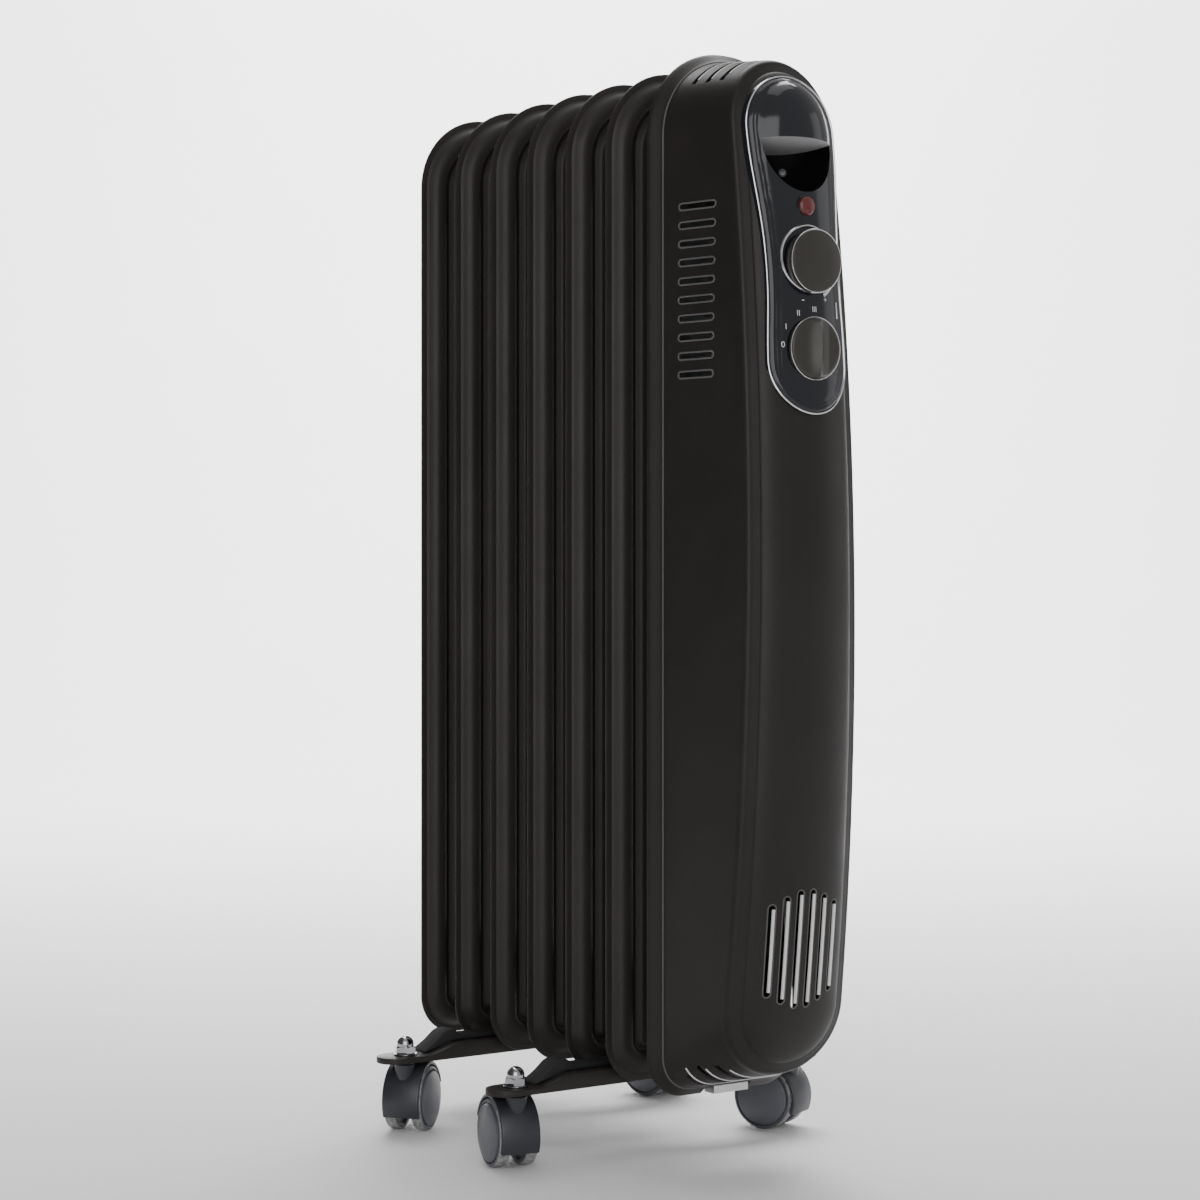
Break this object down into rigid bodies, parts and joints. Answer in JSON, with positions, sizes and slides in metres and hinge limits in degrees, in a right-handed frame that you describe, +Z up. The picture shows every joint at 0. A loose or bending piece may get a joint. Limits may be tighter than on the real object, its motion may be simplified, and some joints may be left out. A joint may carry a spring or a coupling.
{
  "type": "oil filled radiator heater",
  "caption": "Free-standing oil filled heater with upright pressed fins on header tubes, a bowed front cover with two dials, and foot brackets on swivel casters.",
  "frame": {"origin": "on the floor under the middle of the heater's bounding box", "axes": "+Z up; -Y is the front, the way the control cover faces; +X is to the right of a person who looks at the cover; the fins are stacked along +Y"},
  "size_m": [0.232, 0.341, 0.624],
  "materials": {
    "fin_paint": "satin warm charcoal enamel on pressed steel",
    "cover_paint": "satin warm charcoal enamel on sheet steel",
    "gloss_black": "polished blue-black moulded plastic",
    "chrome_trim": "bright plated line",
    "chrome_nut": "bright plated domed nut",
    "bare_steel": "plain bright steel",
    "zinc_plate": "zinc plated steel, slightly dull",
    "black_rubber": "matt black rubber",
    "red_lens": "translucent dull red lens",
    "brown_phenolic": "matt brown heat-resistant moulding",
    "knob_plastic": "smooth satin taupe plastic",
    "caster_plastic": "smooth blue-grey moulded nylon",
    "caster_wheel": "blue-grey moulded nylon with a lighter worn tread"
  },
  "bodies": {
    "radiator": {"fin_1": "fin_paint", "fin_2": "fin_paint", "fin_3": "fin_paint", "fin_4": "fin_paint", "fin_5": "fin_paint", "fin_6": "fin_paint", "fin_7": "fin_paint", "top_header_tube": "fin_paint", "bottom_header_tube": "fin_paint", "oil_filler_plug": "bare_steel", "heating_element": "bare_steel", "control_panel": "gloss_black", "panel_trim": "chrome_trim", "control_cover": "cover_paint", "cord_gland": "black_rubber", "left_panel_screw": "bare_steel", "right_panel_screw": "bare_steel", "lamp_lens": "red_lens", "thermostat_ring": "chrome_trim", "thermostat_body": "brown_phenolic", "selector_switch": "brown_phenolic", "mounting_plate": "zinc_plate", "thermal_cutout": "bare_steel", "terminal_block": "brown_phenolic", "cover_clip": "zinc_plate", "front_foot_bracket": "fin_paint", "front_bracket_pad": "black_rubber", "front_u_bolt": "zinc_plate", "front_left_u_bolt_nut": "zinc_plate", "front_right_u_bolt_nut": "zinc_plate", "rear_foot_bracket": "fin_paint", "rear_bracket_pad": "black_rubber", "rear_u_bolt": "zinc_plate", "rear_left_u_bolt_nut": "zinc_plate", "rear_right_u_bolt_nut": "zinc_plate", "front_left_caster_stem": "chrome_nut", "front_right_caster_stem": "chrome_nut", "rear_left_caster_stem": "chrome_nut", "rear_right_caster_stem": "chrome_nut"},
    "thermostat_dial": {"thermostat_knob": "knob_plastic", "thermostat_shaft": "bare_steel"},
    "selector_dial": {"selector_knob": "knob_plastic", "selector_shaft": "bare_steel"},
    "front_left_swivel": {"front_left_caster_hood": "caster_plastic", "front_left_caster_axle": "bare_steel"},
    "front_left_roller_a": {"front_left_wheel_a": "caster_wheel"},
    "front_left_roller_b": {"front_left_wheel_b": "caster_wheel"},
    "front_right_swivel": {"front_right_caster_hood": "caster_plastic", "front_right_caster_axle": "bare_steel"},
    "front_right_roller_a": {"front_right_wheel_a": "caster_wheel"},
    "front_right_roller_b": {"front_right_wheel_b": "caster_wheel"},
    "rear_left_swivel": {"rear_left_caster_hood": "caster_plastic", "rear_left_caster_axle": "bare_steel"},
    "rear_left_roller_a": {"rear_left_wheel_a": "caster_wheel"},
    "rear_left_roller_b": {"rear_left_wheel_b": "caster_wheel"},
    "rear_right_swivel": {"rear_right_caster_hood": "caster_plastic", "rear_right_caster_axle": "bare_steel"},
    "rear_right_roller_a": {"rear_right_wheel_a": "caster_wheel"},
    "rear_right_roller_b": {"rear_right_wheel_b": "caster_wheel"}
  },
  "joints": [
    {"name": "thermostat_turn", "type": "hinge", "parent": "radiator", "child": "thermostat_dial", "pos_m": [0, -0.16, 0.5013], "axis": [0, -1, 0], "range_deg": [-135, 135]},
    {"name": "selector_turn", "type": "hinge", "parent": "radiator", "child": "selector_dial", "pos_m": [0, -0.165, 0.4543], "axis": [0, -1, 0], "range_deg": [0, 90]},
    {"name": "front_left_swivel_turn", "type": "hinge", "parent": "radiator", "child": "front_left_swivel", "pos_m": [-0.098, -0.019, 0.04], "axis": [0, 0, 1], "continuous": true},
    {"name": "front_left_wheel_a_roll", "type": "hinge", "parent": "front_left_swivel", "child": "front_left_roller_a", "pos_m": [-0.0954, -0.00728, 0.019], "axis": [0.9763, -0.2164, 0], "continuous": true},
    {"name": "front_left_wheel_b_roll", "type": "hinge", "parent": "front_left_swivel", "child": "front_left_roller_b", "pos_m": [-0.0954, -0.00728, 0.019], "axis": [0.9763, -0.2164, 0], "continuous": true},
    {"name": "front_right_swivel_turn", "type": "hinge", "parent": "radiator", "child": "front_right_swivel", "pos_m": [0.098, -0.019, 0.04], "axis": [0, 0, 1], "continuous": true},
    {"name": "front_right_wheel_a_roll", "type": "hinge", "parent": "front_right_swivel", "child": "front_right_roller_a", "pos_m": [0.09312, -0.00804, 0.019], "axis": [0.9135, 0.4067, 0], "continuous": true},
    {"name": "front_right_wheel_b_roll", "type": "hinge", "parent": "front_right_swivel", "child": "front_right_roller_b", "pos_m": [0.09312, -0.00804, 0.019], "axis": [0.9135, 0.4067, 0], "continuous": true},
    {"name": "rear_left_swivel_turn", "type": "hinge", "parent": "radiator", "child": "rear_left_swivel", "pos_m": [-0.098, 0.101, 0.04], "axis": [0, 0, 1], "continuous": true},
    {"name": "rear_left_wheel_a_roll", "type": "hinge", "parent": "rear_left_swivel", "child": "rear_left_roller_a", "pos_m": [-0.08867, 0.10855, 0.019], "axis": [0.6293, -0.7771, 0], "continuous": true},
    {"name": "rear_left_wheel_b_roll", "type": "hinge", "parent": "rear_left_swivel", "child": "rear_left_roller_b", "pos_m": [-0.08867, 0.10855, 0.019], "axis": [0.6293, -0.7771, 0], "continuous": true},
    {"name": "rear_right_swivel_turn", "type": "hinge", "parent": "radiator", "child": "rear_right_swivel", "pos_m": [0.098, 0.101, 0.04], "axis": [0, 0, 1], "continuous": true},
    {"name": "rear_right_wheel_a_roll", "type": "hinge", "parent": "rear_right_swivel", "child": "rear_right_roller_a", "pos_m": [0.09489, 0.11259, 0.019], "axis": [0.9659, 0.2588, 0], "continuous": true},
    {"name": "rear_right_wheel_b_roll", "type": "hinge", "parent": "rear_right_swivel", "child": "rear_right_roller_b", "pos_m": [0.09489, 0.11259, 0.019], "axis": [0.9659, 0.2588, 0], "continuous": true}
  ]
}
